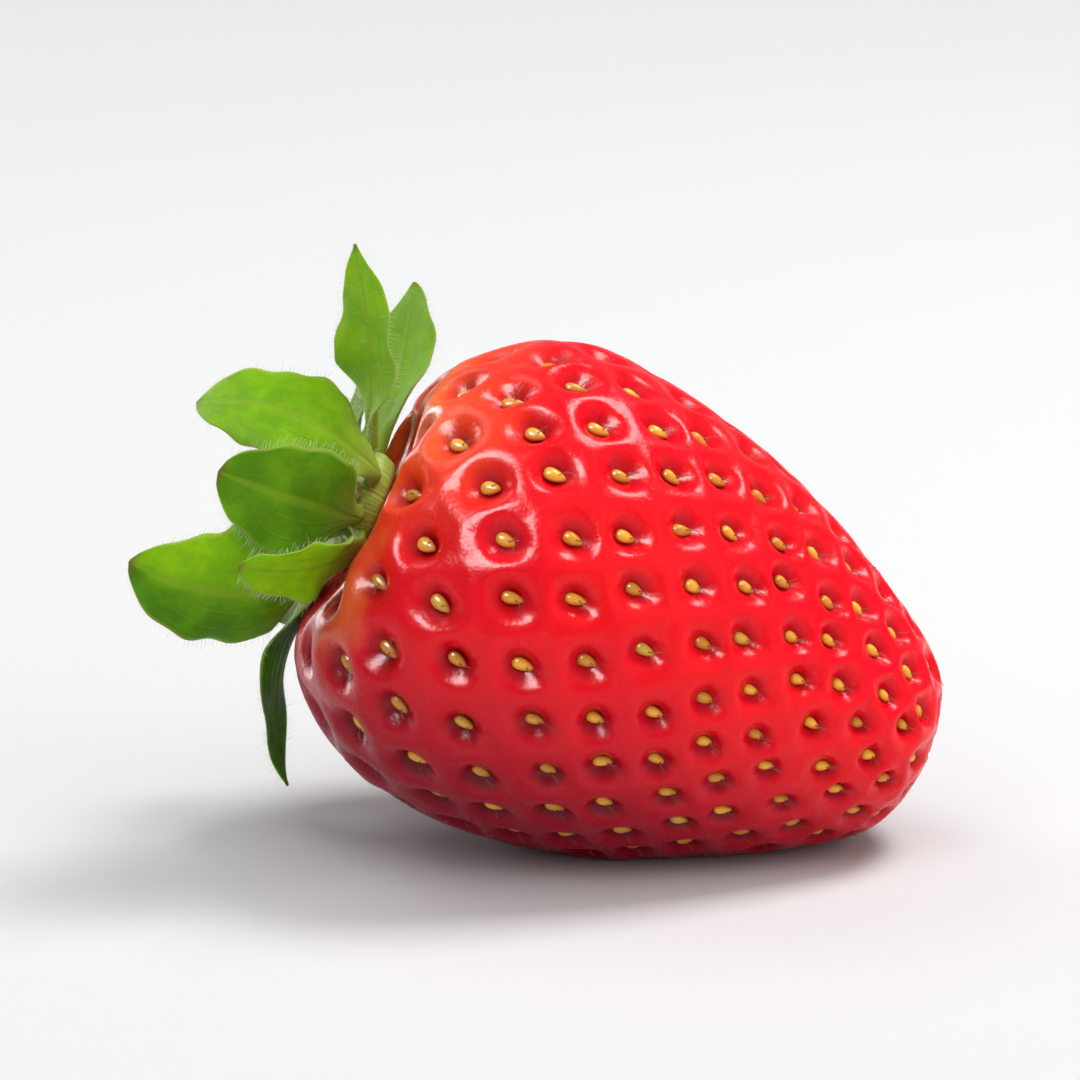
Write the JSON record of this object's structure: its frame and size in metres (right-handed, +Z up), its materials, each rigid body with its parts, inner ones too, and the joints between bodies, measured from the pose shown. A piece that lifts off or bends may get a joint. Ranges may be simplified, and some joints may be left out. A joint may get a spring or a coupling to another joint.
{
  "type": "strawberry",
  "caption": "Ripe red strawberry lying on its side, with its seeds in pits, a leafy green calyx and a short cut stem.",
  "frame": {"origin": "the middle of the small flat spot that the berry rests on", "axes": "+X from the calyx towards the tip, along the table; +Z up; the axis of the berry lies in the XZ plane and tips down towards +X"},
  "size_m": [0.052, 0.0319, 0.0404],
  "materials": {
    "skin": "glossy red skin in shallow pits, orange at the shoulder and darker below",
    "seed": "golden seeds with dry brown styles",
    "leaf": "soft green leaf, paler underneath and along its edge",
    "stem": "pale green, finely downy"
  },
  "bodies": {
    "root": {"fruit": "skin", "calyx_base": "stem", "stem": "stem", "sepal_1": "leaf", "sepal_2": "leaf", "sepal_3": "leaf", "sepal_4": "leaf", "sepal_5": "leaf", "sepal_6": "leaf", "bract_1": "leaf", "bract_2": "leaf", "bract_3": "leaf", "bract_4": "leaf", "bract_5": "leaf", "bract_6": "leaf", "bract_7": "leaf"}
  },
  "joints": []
}
